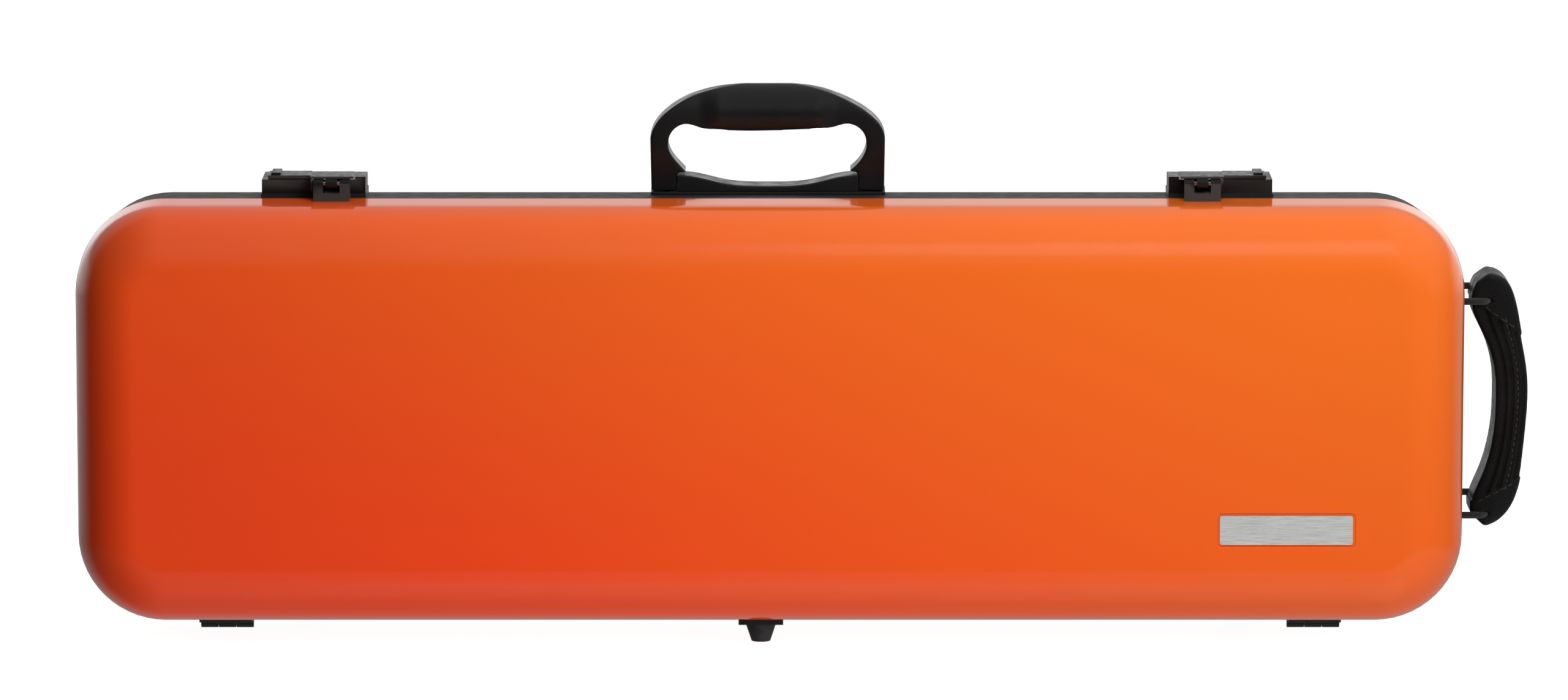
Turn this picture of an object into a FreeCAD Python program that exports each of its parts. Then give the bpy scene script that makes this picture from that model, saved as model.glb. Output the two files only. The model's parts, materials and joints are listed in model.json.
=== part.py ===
import FreeCAD, Part
import math
import os
import re

import Sketcher

V = FreeCAD.Vector

os.makedirs("parts", exist_ok=True)
doc = FreeCAD.newDocument("violin_case")

# Driving dimensions in millimetres and degrees.
# Case frame: x from the middle of the case, y from the parting line (lid negative), z from the floor.
SIZES = {
    "middle_x": 5.3,            # case middle, seen from the front foot
    "parting_y": 14.0,          # parting line, seen from the front foot
    "case_length": 790.0,
    "case_height": 240.0,
    "corner_round": 50.7,
    "shell_bottom": 13.0,
    "wall": 2.4,
    "lid_depth": 58.0,
    "lid_draft": 2.5,
    "lid_edge": 35.0,
    "base_depth": 80.0,
    "base_draft": 4.0,
    "base_edge": 26.0,
    "lid_gap": 0.4,             # lid rim to base rim, closed
    "valance": 3.6,
    "valance_depth": 12.0,
    "lining": 3.0,
    "foam_front": 14.0,
    "foam_inset": 8.0,
    "foam_depth": 62.0,
    "hollow_back": 60.0,        # depth of the instrument's hollow
    "handle_y": 43.0,
    "handle_thick": 26.0,
    "handle_foot": 252.9,
    "latch_inner_left": 230.4,  # lock housings' inner ends, from the middle
    "latch_inner_right": 226.9,
    "housing_top": 262.6,
    "hasp_axis_y": -8.2,
    "hasp_axis_z": 262.6,
    "knuckle": 2.8,
    "hasp_pin": 1.4,
    "running": 0.06,
    "hinge_x": 311.0,
    "hinge_z": 8.5,
    "hinge_barrel": 3.5,
    "hinge_pin": 1.6,
    "rear_foot_x": 270.0,
    "rear_foot_y": 62.0,
    "strap_y": 40.0,
    "strap_wide": 31.0,
    "plate_x": 292.0,
    "plate_z": 71.3,
    "pocket_axis_y": 12.0,
    "pocket_axis_z": 87.0,
}

sheet = doc.addObject("Spreadsheet::Sheet", "Sizes")
for row, (word, number) in enumerate(SIZES.items(), start=1):
    sheet.set(f"A{row}", word)
    sheet.set(f"B{row}", str(number))
    sheet.setAlias(f"B{row}", word)
doc.recompute()

WORDS = re.compile(r"\b(" + "|".join(SIZES) + r")\b")
MIDDLE_Z = "(shell_bottom + case_height / 2)"


def bind(thing, prop, formula):
    thing.setExpression(prop, WORDS.sub(r"Sizes.\1", str(formula)))


def stand(thing, x, y, z):
    """Places a thing given in the case frame."""
    bind(thing, "Placement.Base.x", f"middle_x + ({x})")
    bind(thing, "Placement.Base.y", f"parting_y + ({y})")
    bind(thing, "Placement.Base.z", z)


# ---------------------------------------------------------------- primitives

def box(name, x, y, z):
    """Block from three (low, high) pairs."""
    part = doc.addObject("Part::Box", name)
    for prop, (low, high) in zip(("Length", "Width", "Height"), (x, y, z)):
        bind(part, prop, f"({high}) - ({low})")
    stand(part, x[0], y[0], z[0])
    return part


TURNS = {
    "X": FreeCAD.Rotation(V(0, 1, 0), 90),
    "Y": FreeCAD.Rotation(V(1, 0, 0), -90),
    "Z": FreeCAD.Rotation(),
}


def cylinder(name, axis, centre, radius, low, high):
    """Cylinder along an axis from low to high; centre gives the other two coordinates."""
    part = doc.addObject("Part::Cylinder", name)
    part.Placement = FreeCAD.Placement(V(), TURNS[axis])
    bind(part, "Radius", radius)
    bind(part, "Height", f"({high}) - ({low})")
    at = list(centre)
    at.insert("XYZ".index(axis), low)
    stand(part, *at)
    return part


def cone(name, axis, centre, radius_low, radius_high, low, high):
    part = doc.addObject("Part::Cone", name)
    part.Placement = FreeCAD.Placement(V(), TURNS[axis])
    bind(part, "Radius1", radius_low)
    bind(part, "Radius2", radius_high)
    bind(part, "Height", f"({high}) - ({low})")
    at = list(centre)
    at.insert("XYZ".index(axis), low)
    stand(part, *at)
    return part


def fuse(name, *things):
    part = doc.addObject("Part::MultiFuse", name)
    part.Shapes = list(things)
    doc.recompute()
    return part


def cut(name, base, *tools):
    part = doc.addObject("Part::Cut", name)
    part.Base = base
    part.Tool = tools[0] if len(tools) == 1 else fuse(name + "_tools", *tools)
    doc.recompute()
    return part


def common(name, first, second):
    part = doc.addObject("Part::Common", name)
    part.Base = first
    part.Tool = second
    doc.recompute()
    return part


def group(name, *things):
    part = doc.addObject("Part::Compound", name)
    part.Links = list(things)
    doc.recompute()
    return part


def rounded(name, base, radius, keep):
    """Fillets the base's edges for which keep(edge) holds."""
    part = doc.addObject("Part::Fillet", name)
    part.Base = base
    numbers = [i for i, edge in enumerate(base.Shape.Edges, start=1) if keep(edge)]
    part.Edges = [(i, radius, radius) for i in numbers]
    doc.recompute()
    return part


# ---------------------------------------------------------------- bodies from sketches

def new_body(name):
    return doc.addObject("PartDesign::Body", name)


def sketch_on(body, role):
    sketch = body.newObject("Sketcher::SketchObject", body.Name + "_sketch")
    plane = [f for f in body.Origin.OriginFeatures if f.Role == role][0]
    sketch.AttachmentSupport = [(plane, "")]
    sketch.MapMode = "FlatFace"
    return sketch


def rounded_rectangle(sketch, length, height, corner):
    """Constrained rectangle with round corners about the sketch's origin."""
    half_x, half_z, r = 300.0, 90.0, 30.0
    up = V(0, 0, 1)
    lines = [
        Part.LineSegment(V(-half_x + r, half_z, 0), V(half_x - r, half_z, 0)),
        Part.LineSegment(V(half_x, half_z - r, 0), V(half_x, -half_z + r, 0)),
        Part.LineSegment(V(half_x - r, -half_z, 0), V(-half_x + r, -half_z, 0)),
        Part.LineSegment(V(-half_x, -half_z + r, 0), V(-half_x, half_z - r, 0)),
    ]
    centres = [(1, 1, 0), (1, -1, -90), (-1, -1, 180), (-1, 1, 90)]
    arcs = []
    for side_x, side_z, start in centres:
        circle = Part.Circle(V(side_x * (half_x - r), side_z * (half_z - r), 0), up, r)
        arcs.append(Part.ArcOfCircle(circle, math.radians(start), math.radians(start + 90)))
    sketch.addGeometry(lines + arcs)
    con = Sketcher.Constraint
    sketch.addConstraint([
        con("Tangent", 0, 2, 4, 2), con("Tangent", 4, 1, 1, 1),
        con("Tangent", 1, 2, 5, 2), con("Tangent", 5, 1, 2, 1),
        con("Tangent", 2, 2, 6, 2), con("Tangent", 6, 1, 3, 1),
        con("Tangent", 3, 2, 7, 2), con("Tangent", 7, 1, 0, 1),
        con("Horizontal", 0), con("Horizontal", 2), con("Vertical", 1), con("Vertical", 3),
        con("Equal", 4, 5), con("Equal", 5, 6), con("Equal", 6, 7),
        con("Symmetric", 0, 1, 2, 1, -1, 1),
    ])
    for kind, args, formula in (
            ("DistanceX", (3, 1, 1, 1, 2 * half_x), length),
            ("DistanceY", (2, 1, 0, 2, 2 * half_z), height),
            ("Radius", (4, r), corner)):
        index = sketch.addConstraint(con(kind, *args))
        bind(sketch, f"Constraints[{index}]", formula)


def slab(name, inset, start, depth, side, draft="0", edge=None):
    """Drafted slab with the case's outline, drawn in by inset, from start to start + depth.

    side is -1 towards the lid's face and +1 towards the base's back.
    """
    body = new_body(name)
    sketch = sketch_on(body, "XZ_Plane")
    rounded_rectangle(sketch, f"case_length - 2 * ({inset})", f"case_height - 2 * ({inset})",
                      f"corner_round - ({inset})")
    pad = body.newObject("PartDesign::Pad", name + "_pad")
    pad.Profile = sketch
    pad.Reversed = side > 0
    bind(pad, "Length", depth)
    bind(pad, "TaperAngle", f"-1 * ({draft})")
    stand(body, "0", f"{side} * ({start})", MIDDLE_Z)
    doc.recompute()
    if edge is not None:
        far = max(abs(face.CenterOfMass.y) for face in pad.Shape.Faces)
        ends = [f"Face{i}" for i, face in enumerate(pad.Shape.Faces, start=1)
                if abs(abs(face.CenterOfMass.y) - far) < 1e-6]
        fillet = body.newObject("PartDesign::Fillet", name + "_fillet")
        fillet.Base = (pad, ends)
        bind(fillet, "Radius", edge)
        doc.recompute()
    return body


def lid_slab(name, inset, start, depth, edge=None):
    return slab(name, inset, start, depth, -1, "lid_draft", edge)


def base_slab(name, inset, start, depth, edge=None):
    return slab(name, inset, start, depth, 1, "base_draft", edge)


def outline_pad(name, role, wires, depth, place):
    """Pads closed outlines; each is a list of curves end to end."""
    body = new_body(name)
    sketch = sketch_on(body, role)
    for curves in wires:
        sketch.addGeometry(curves)
    pad = body.newObject("PartDesign::Pad", name + "_pad")
    pad.Profile = sketch
    pad.Midplane = True
    bind(pad, "Length", depth)
    stand(body, *place)
    doc.recompute()
    return body


def spline(points):
    curve = Part.BSplineCurve()
    curve.interpolate([V(x, z, 0) for x, z in points])
    return curve


def line(start, end):
    return Part.LineSegment(V(*start, 0), V(*end, 0))


# ---------------------------------------------------------------- helpers for pairs

def span(side, low, high):
    """(low, high) mirrored to the left when side is -1."""
    return (low, high) if side > 0 else (f"-({high})", f"-({low})")


def name_of(side):
    return "right" if side > 0 else "left"


finished = {}


def finish(node, thing):
    thing.Label = node
    finished[node] = thing
    return thing


# ---------------------------------------------------------------- outer references
# Solids with the shells' outside, used to trim the pieces that lie on them.

def outside(name, side):
    if side < 0:
        return lid_slab(name, "0", "lid_gap", "lid_depth - lid_gap", "lid_edge")
    return base_slab(name, "0", "0", "base_depth", "base_edge")


# ---------------------------------------------------------------- end handle

STRAP_OUTER = [(412.0, 204.8), (420.6, 201.2), (425.6, 190.8), (429.3, 172.2), (432.9, 152.6),
               (433.9, 141.5), (433.4, 123.3), (431.2, 99.4), (428.2, 81.2), (419.4, 65.5),
               (410.8, 61.0)]
STRAP_INNER = [(404.0, 67.5), (403.8, 73.0), (408.4, 86.0), (414.4, 105.2), (416.7, 122.5),
               (417.0, 134.0), (416.6, 146.5), (411.4, 167.0), (405.4, 179.5), (403.0, 187.0),
               (403.6, 194.0), (406.0, 200.5)]
LOOPS = {"lower": (70.1, 12.7), "upper": (192.4, 6.6)}    # height of the loop's middle, tilt
LOOP_REACH = "17.7"                  # from the strap's middle to the strand on each side
LOOP_END = "412.0"
LOOP_BEND = "5.0"


def bend(name, centre, major, minor, turn):
    """Quarter of a torus whose axis is Z, starting turn degrees from X."""
    part = doc.addObject("Part::Torus", name)
    part.Angle3 = 90
    part.Placement = FreeCAD.Placement(V(), FreeCAD.Rotation(V(0, 0, 1), turn))
    bind(part, "Radius1", major)
    bind(part, "Radius2", minor)
    stand(part, *centre)
    return part


def cord_loops(tag, radius, start="387.4"):
    """Two strands from the end wall, joined by a run through the fold in the strap's end."""
    loops = []
    for word, (z, tilt) in LOOPS.items():
        name = f"{tag}_{word}"
        turn_x = f"{LOOP_END} - {LOOP_BEND}"
        run = cylinder(name + "_run", "Y", (LOOP_END, str(z)), radius,
                       f"strap_y - {LOOP_REACH} + {LOOP_BEND}",
                       f"strap_y + {LOOP_REACH} - {LOOP_BEND}")
        parts = [run]
        for side, sign, turn in ((-1, "-", -90), (1, "+", 0)):
            y = f"strap_y {sign} {LOOP_REACH}"
            parts.append(cylinder(f"{name}_strand_{name_of(side)}", "X", (y, str(z)), radius,
                                  start, turn_x))
            parts.append(bend(f"{name}_bend_{name_of(side)}",
                              (turn_x, f"strap_y - ({sign}1) * ({LOOP_BEND} - {LOOP_REACH})", str(z)),
                              LOOP_BEND, radius, turn))
        loop = fuse(name, *parts)
        middle = V(0, SIZES["strap_y"] + SIZES["parting_y"], z)
        loop.Placement = FreeCAD.Placement(V(), FreeCAD.Rotation(V(1, 0, 0), tilt), middle)
        doc.recompute()
        loops.append(loop)
    return loops


def end_strap():
    shift = STRAP_OUTER[0][1] / 2 + STRAP_OUTER[-1][1] / 2
    outer = [(x, z - shift) for x, z in STRAP_OUTER]
    inner = [(x, z - shift) for x, z in STRAP_INNER]
    wire = [spline(outer), line(outer[-1], inner[0]), spline(inner), line(inner[-1], outer[0])]
    blank = outline_pad("strap_blank", "XZ_Plane", [wire], "strap_wide",
                        ("0", "strap_y", str(shift)))
    finish("end_strap", cut("end_strap", blank, *cord_loops("strap_eye", "2.0")))
    finish("strap_cords", group("strap_cords", *cord_loops("cord", "2.0")))


def cord_eyelets():
    plates = []
    for word, (z, _) in LOOPS.items():
        plates.append(box(f"eyelet_blank_{word}", ("387.2", "390.6"),
                          ("strap_y - 23", "strap_y + 22"), (f"{z} - 12", f"{z} + 12")))
    blank = group("eyelet_blank", *plates)
    inside = base_slab("eyelet_room", "wall + 0.02", "0", "base_depth - wall", "base_edge - wall")
    trimmed = common("eyelet_trim", blank, inside)
    finish("cord_eyelets", cut("cord_eyelets", trimmed, *cord_loops("eyelet_hole", "2.0")))


# ---------------------------------------------------------------- shells and frames

def hinge_rivets(tag, side, radius, low, high):
    """Rivets through one leaf of both hinges; side -1 lid, +1 base."""
    return [cylinder(f"{tag}_{name_of(end)}_{i}", "Z",
                     (f"{end} * hinge_x + {dx}", f"{side} * 10.4"), radius, low, high)
            for end in (-1, 1) for i, dx in enumerate((-8, 8))]


def bracket_rivets(tag, radius, low, high):
    return [cylinder(f"{tag}_{name_of(side)}_{i}", "Z", (f"{side} * (latch_inner_{name_of(side)} + {dx})", "-5.2"),
                     radius, low, high)
            for side in (-1, 1) for i, dx in enumerate((12.6, 24.8))]


def housing_rivets(tag, radius, low, high):
    spots = ((3.2, 38.5), (56.6, 38.5))
    return [cylinder(f"{tag}_{name_of(side)}_{i}", "Z", (f"{side} * (latch_inner_{name_of(side)} + {dx})", y),
                     radius, low, high)
            for side in (-1, 1) for i, (dx, y) in enumerate(spots)]


def handle_screws_at(tag, radius, low, high):
    return [cylinder(f"{tag}_{i}", "Z", (x, "handle_y"), radius, low, high)
            for i, x in enumerate(("-60.0", "-40.0", "37.4", "57.4"))]


def foot_screw(tag, radius, low, high):
    return cylinder(tag, "Z", ("-middle_x", "-parting_y"), radius, low, high)


def rear_foot_screws_at(tag, radius, low, high):
    return [cylinder(f"{tag}_{name_of(side)}", "Z", (f"{side} * rear_foot_x", "rear_foot_y"),
                     radius, low, high) for side in (-1, 1)]


def lid_shell():
    hollow = lid_slab("lid_hollow", "wall", "lid_gap", "lid_depth - lid_gap - wall",
                      "lid_edge - wall")
    recess = box("plate_recess", ("plate_x - 39.5", "plate_x + 39.5"),
                 ("-lid_depth - 1", "-lid_depth + 0.5"), ("plate_z - 9.6", "plate_z + 9.6"))
    holes = (hinge_rivets("lid_rivet_hole", -1, "1.5", "8", "20")
             + bracket_rivets("bracket_rivet_hole", "1.5", "245", "256")
             + [foot_screw("foot_screw_hole", "2.0", "8", "20")])
    finish("lid_shell", cut("lid_shell", outside("lid_outside", -1), hollow, recess, *holes))


def base_shell():
    hollow = base_slab("base_hollow", "wall", "0", "base_depth - wall", "base_edge - wall")
    holes = (hinge_rivets("base_rivet_hole", 1, "1.5", "8", "20")
             + housing_rivets("housing_rivet_hole", "1.5", "240", "256")
             + handle_screws_at("handle_hole", "2.5", "240", "256")
             + rear_foot_screws_at("rear_screw_hole", "2.0", "8", "26")
             + cord_loops("cord_hole", "2.3", "380"))
    finish("base_shell", cut("base_shell", outside("base_outside", 1), hollow, *holes))


def frames():
    """Stiffening frames inside both rims, and the seal."""
    inner = "wall + 0.05"
    deep = "wall + valance"
    lid_ring = cut("lid_frame_ring",
                   lid_slab("lid_frame_out", inner, "lid_gap", "valance_depth"),
                   lid_slab("lid_frame_in", deep, "lid_gap", "valance_depth"))
    lid_holes = (hinge_rivets("lid_frame_hole", -1, "1.5", "8", "22")
                 + bracket_rivets("lid_frame_slot", "1.5", "240", "256")
                 + [foot_screw("lid_frame_screw", "4.3", "10", "24")])
    finish("lid_frame", cut("lid_frame", lid_ring, *lid_holes))
    base_ring = cut("base_frame_ring",
                    base_slab("base_frame_out", inner, "0", "valance_depth"),
                    base_slab("base_frame_in", deep, "0", "valance_depth"))
    groove = seal_ring("seal_groove")
    base_holes = hinge_rivets("base_frame_hole", 1, "1.5", "8", "22")
    finish("base_frame", cut("base_frame", base_ring, groove, *base_holes))
    finish("rim_seal", seal_ring("rim_seal"))


def seal_ring(name):
    return cut(name, slab(name + "_out", "wall + 1.0", "0", "2.0", 1),
               slab(name + "_in", "wall + 2.6", "0", "2.0", 1))


def lining():
    back = "valance_depth + lid_gap + 0.2"
    draw_in = f"({back}) * tan(lid_draft * 1 deg)"
    depth = f"lid_depth - wall - 0.1 - ({back})"
    outer = lid_slab("lining_out", f"wall + 0.1 + {draw_in}", back, depth, "lid_edge - wall - 0.1")
    inner = lid_slab("lining_in", f"wall + 0.1 + lining + {draw_in}", back, f"{depth} - lining",
                     "lid_edge - wall - 0.1 - lining")
    room = cylinder("lining_screw_room", "Z", ("-middle_x", "-parting_y"), "4.6", "10", "24")
    finish("lid_lining", cut("lid_lining", outer, inner, room))


# ---------------------------------------------------------------- nameplate

def nameplate():
    blank = box("nameplate_blank", ("plate_x - 37.6", "plate_x + 37.6"),
                ("-lid_depth - 0.3", "-lid_depth + 0.5"), ("plate_z - 8.3", "plate_z + 8.3"))
    doc.recompute()
    finish("nameplate", rounded("nameplate", blank, 1.3,
                                lambda e: abs(e.tangentAt(e.FirstParameter).y) > 0.99))


# ---------------------------------------------------------------- carrying handle

def handle_front():
    """Outline of the handle from the front, about its own middle and foot."""
    outer = [(-67.3, 31.0), (-66.5, 34.0), (-63.5, 39.5), (-57.6, 45.4), (-46.2, 52.5),
             (-30.6, 57.6), (-16.1, 59.9), (0.0, 60.7), (16.1, 59.9), (30.6, 57.2),
             (46.4, 51.1), (59.4, 43.1), (64.5, 37.8), (67.1, 31.0)]
    window_top = [(-46.6, 11.0), (-52.7, 17.5), (-56.8, 25.0), (-55.3, 33.5), (-47.7, 38.4),
                  (-38.1, 36.2), (-24.6, 33.6), (0.0, 33.2), (16.2, 33.8), (37.1, 36.6),
                  (46.2, 38.6), (54.4, 34.0), (56.4, 27.0), (52.7, 17.5), (46.2, 11.4)]
    wire = [
        spline(outer),
        line((67.1, 31.0), (66.6, 0.0)),
        line((66.6, 0.0), (51.7, 0.0)),
        line((51.7, 0.0), (51.3, 11.0)),
        line((51.3, 11.0), (46.2, 11.4)),
        spline(window_top[::-1]),
        line((-46.6, 11.0), (-51.9, 10.6)),
        line((-51.9, 10.6), (-52.3, 0.0)),
        line((-52.3, 0.0), (-66.7, 0.0)),
        line((-66.7, 0.0), (-67.3, 31.0)),
    ]
    return outline_pad("handle_front", "XZ_Plane", [wire], "handle_thick",
                       ("-1.35", "handle_y", "handle_foot"))


def handle_side():
    """Outline of the handle from the end: narrow foot, full grip, round top."""
    half = SIZES["handle_thick"] / 2
    wire = [
        line((-half + 2.5, -1.0), (half - 2.5, -1.0)),
        line((half - 2.5, -1.0), (half, 24.0)),
        spline([(half, 24.0), (half - 0.2, 42.0), (half - 3.2, 53.0), (half - 8.0, 58.4),
                (0.0, 60.2), (8.0 - half, 58.4), (3.2 - half, 53.0), (0.2 - half, 42.0),
                (-half, 24.0)]),
        line((-half, 24.0), (-half + 2.5, -1.0)),
    ]
    return outline_pad("handle_side", "YZ_Plane", [wire], "200",
                       ("-1.35", "handle_y", "handle_foot"))


def handle():
    blank = common("handle_blank", handle_front(), handle_side())
    holes = [cylinder(f"handle_bore_{i}", "Z", (x, "handle_y"), "2.0", "250", "266")
             for i, x in enumerate(("-60.0", "57.4"))]
    finish("handle", cut("handle", blank, *holes))


def handle_saddle():
    wire = [
        line((-50.3, -0.2), (49.7, -0.2)),
        line((49.7, -0.2), (49.4, 9.0)),
        spline([(49.4, 9.0), (40.0, 8.2), (22.0, 4.0), (0.0, 2.8), (-22.0, 4.0), (-40.0, 8.2),
                (-50.0, 9.0)]),
        line((-50.0, 9.0), (-50.3, -0.2)),
    ]
    blank = outline_pad("saddle_blank", "XZ_Plane", [wire], "23",
                        ("-1.35", "handle_y", "handle_foot"))
    holes = [cylinder(f"saddle_bore_{i}", "Z", (x, "handle_y"), "2.0", "250", "259.5")
             for i, x in enumerate(("-40.0", "37.4"))]
    finish("handle_saddle", cut("handle_saddle", blank, *holes))


def handle_plates():
    top = box("handle_plate_blank", ("-68.4", "65.9"), ("handle_y - 14", "handle_y + 14"),
              ("245", "handle_foot - 0.2"))
    plate = cut("handle_plate_trim", top, outside("handle_plate_room", 1))
    finish("handle_plate", cut("handle_plate", plate,
                               *handle_screws_at("plate_hole", "2.5", "240", "256")))
    under = box("backing_blank", ("-68", "66"), ("handle_y - 11", "handle_y + 11"),
                ("243.6", "250"))
    room = base_slab("backing_room", "wall + 0.02", "0", "base_depth - wall", "base_edge - wall")
    trimmed = common("backing_trim", under, room)
    finish("handle_backing", cut("handle_backing", trimmed,
                                 *handle_screws_at("backing_hole", "2.5", "240", "256")))
    screws = []
    shanks = handle_screws_at("screw_shank", "2.0", "243.4", "258.5")
    heads = handle_screws_at("screw_head", "4.0", "241.4", "243.5")
    for i, (shank, head) in enumerate(zip(shanks, heads)):
        screws.append(fuse(f"handle_screw_{i}", shank, head))
    finish("handle_screws", group("handle_screws", *screws))


# ---------------------------------------------------------------- locks

def at_latch(side, low, high):
    """X span counted from the lock housing's inner end."""
    inner = f"latch_inner_{name_of(side)}"
    return span(side, f"{inner} + {low}", f"{inner} + {high}")


def lock_housing(side):
    tag = name_of(side)
    flange = box(f"flange_{tag}", at_latch(side, 0, "59.8"), ("8", "45"), ("245", "254.6"))
    flange = cut(f"flange_trim_{tag}", flange, outside(f"flange_room_{tag}", 1))
    block = box(f"block_{tag}", at_latch(side, "0.5", "59.3"), ("9", "44"),
                ("254.5", "housing_top"))
    end = box(f"end_block_{tag}", at_latch(side, "0.2", "6.0"), ("9", "30"),
              ("254.5", "housing_top + 1.6"))
    solid = fuse(f"housing_solid_{tag}", flange, block, end)
    staple_slot = box(f"staple_slot_{tag}", at_latch(side, "14.4", "22.8"), ("7", "19"),
                      ("255.4", "270"))
    bolt_way = box(f"bolt_way_{tag}", at_latch(side, "22.0", "54.5"), ("11.6", "18.4"),
                   ("255.6", "261.0"))
    thumb_way = box(f"thumb_way_{tag}", at_latch(side, "37.6", "49.9"), ("12.3", "17.7"),
                    ("260.0", "270"))
    holes = [h for h in housing_rivets(f"housing_bore_{tag}", "1.5", "240", "259")]
    finish(f"lock_housing_{tag}", cut(f"lock_housing_{tag}", solid, staple_slot, bolt_way,
                                      thumb_way, *holes))


def thumb_slide(side):
    tag = name_of(side)
    plate = box(f"thumb_plate_{tag}", at_latch(side, "31.5", "55.9"), ("9.6", "31"),
                ("housing_top + 0.3", "housing_top + 2.3"))
    bump = box(f"thumb_bump_{tag}", at_latch(side, "48.6", "54.0"), ("11", "29.5"),
               ("housing_top + 2.2", "housing_top + 3.7"))
    neck = box(f"thumb_neck_{tag}", at_latch(side, "38", "46"), ("12.6", "17.4"),
               ("258.0", "housing_top + 0.4"))
    bolt = box(f"thumb_bolt_{tag}", at_latch(side, "22.6", "46"), ("12.0", "18.0"),
               ("256.0", "260.6"))
    finish(f"thumb_slide_{tag}", fuse(f"thumb_slide_{tag}", plate, bump, neck, bolt))


def lock_spring(side):
    """Leaf spring bent once, resting against the housing's end and the bolt's tail."""
    tag = name_of(side)
    leaf = box(f"spring_leaf_{tag}", at_latch(side, "53.6", "54.2"), ("12.4", "17.6"),
               ("255.8", "260.4"))
    arm = box(f"spring_arm_{tag}", at_latch(side, "50.2", "54.0"), ("12.4", "17.6"),
              ("255.8", "256.3"))
    finish(f"lock_spring_{tag}", fuse(f"lock_spring_{tag}", leaf, arm))


def lid_bracket(side):
    tag = name_of(side)
    foot = box(f"bracket_foot_{tag}", at_latch(side, "8.4", "29.0"), ("-10.5", "-1.2"),
               ("248", "257.2"))
    foot = cut(f"bracket_trim_{tag}", foot, outside(f"bracket_room_{tag}", -1))
    things = [foot]
    for i, (low, high) in enumerate((("8.4", "14.0"), ("23.4", "29.0"))):
        x = at_latch(side, low, high)
        things.append(box(f"ear_{tag}_{i}", x, ("-10.5", "-1.2"), ("257.0", "hasp_axis_z")))
        things.append(box(f"ear_back_{tag}_{i}", x, ("hasp_axis_y", "-1.2"),
                          ("hasp_axis_z - 0.5", "hasp_axis_z + 2.3")))
        things.append(cylinder(f"ear_round_{tag}_{i}", "X", ("hasp_axis_y", "hasp_axis_z"), "2.3",
                               x[0], x[1]))
    x = at_latch(side, "28.9", "30.4")
    things.append(box(f"boss_{tag}", x, ("-9.6", "-4.6"), ("258.6", "hasp_axis_z + 1.6")))
    solid = fuse(f"bracket_solid_{tag}", *things)
    x = at_latch(side, "8.0", "30.8")
    pin_hole = cylinder(f"ear_bore_{tag}", "X", ("hasp_axis_y", "hasp_axis_z"), "hasp_pin",
                        x[0], x[1])
    rivet_holes = bracket_rivets(f"bracket_bore_{tag}", "1.5", "240", "256.2")
    finish(f"lid_bracket_{tag}", cut(f"lid_bracket_{tag}", solid, pin_hole, *rivet_holes))


def hasp(side):
    tag = name_of(side)
    x = at_latch(side, "15.4", "22.0")
    plate = box(f"hasp_plate_{tag}", at_latch(side, "6.3", "30.8"), ("-8.6", "15.5"),
                ("hasp_axis_z + 2.8", "hasp_axis_z + 4.0"))
    barrel = cylinder(f"hasp_barrel_{tag}", "X", ("hasp_axis_y", "hasp_axis_z"), "knuckle",
                      x[0], x[1])
    web = box(f"hasp_web_{tag}", x, ("hasp_axis_y", "hasp_axis_y + 2.8"),
              ("hasp_axis_z", "hasp_axis_z + 3.0"))
    staple = box(f"staple_{tag}", at_latch(side, "15.0", "22.2"), ("11.5", "14.7"),
                 ("256.2", "hasp_axis_z + 3.0"))
    solid = fuse(f"hasp_solid_{tag}", plate, barrel, web, staple)
    bore = cylinder(f"hasp_bore_{tag}", "X", ("hasp_axis_y", "hasp_axis_z"),
                    "hasp_pin + running", x[0] + " - 1", x[1] + " + 1")
    window = box(f"staple_window_{tag}", at_latch(side, "18.6", "23"), ("11", "15.2"),
                 ("257.4", "261.6"))
    finish(f"hasp_{tag}", cut(f"hasp_{tag}", solid, bore, window))
    x = at_latch(side, "8.8", "30.0")
    finish(f"hasp_pin_{tag}", cylinder(f"hasp_pin_{tag}", "X", ("hasp_axis_y", "hasp_axis_z"),
                                       "hasp_pin", x[0], x[1]))


# ---------------------------------------------------------------- hinges

def hinge_leaf(side):
    """Leaves of both hinges; side -1 on the lid with two knuckles, +1 on the base with one."""
    word = "lid" if side < 0 else "base"
    knuckles = ((-15.0, -5.2), (5.2, 15.0)) if side < 0 else ((-4.9, 4.9),)
    leaves = []
    for end in (-1, 1):
        tag = f"{word}_{name_of(end)}"
        y = ("-17.5", "-4.3") if side < 0 else ("4.3", "17.5")
        things = [box(f"leaf_{tag}", (f"{end} * hinge_x - 15", f"{end} * hinge_x + 15"), y,
                      ("hinge_z + 2.4", "16"))]
        for i, (low, high) in enumerate(knuckles):
            x = (f"{end} * hinge_x + ({low})", f"{end} * hinge_x + ({high})")
            arm = ("-4.4", "0") if side < 0 else ("0", "4.4")
            things.append(box(f"arm_{tag}_{i}", x, arm, ("hinge_z", "hinge_z + hinge_barrel")))
            things.append(box(f"root_{tag}_{i}", x, ("-4.4", "-2.0") if side < 0 else ("2.0", "4.4"),
                              ("hinge_z + 2.4", "shell_bottom - 0.2")))
            things.append(cylinder(f"knuckle_{tag}_{i}", "X", ("0", "hinge_z"), "hinge_barrel", *x))
        solid = fuse(f"leaf_solid_{tag}", *things)
        trimmed = cut(f"leaf_trim_{tag}", solid, outside(f"leaf_room_{tag}", side))
        fit = "hinge_pin + running" if side < 0 else "hinge_pin"
        bore = cylinder(f"leaf_bore_{tag}", "X", ("0", "hinge_z"), fit,
                        f"{end} * hinge_x - 20", f"{end} * hinge_x + 20")
        leaves.append(cut(f"leaf_{tag}_bored", trimmed, bore,
                          *hinge_rivets(f"leaf_hole_{tag}", side, "1.5", "8", "20")))
    finish(f"{word}_hinge_leaves", group(f"{word}_hinge_leaves", *leaves))


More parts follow.
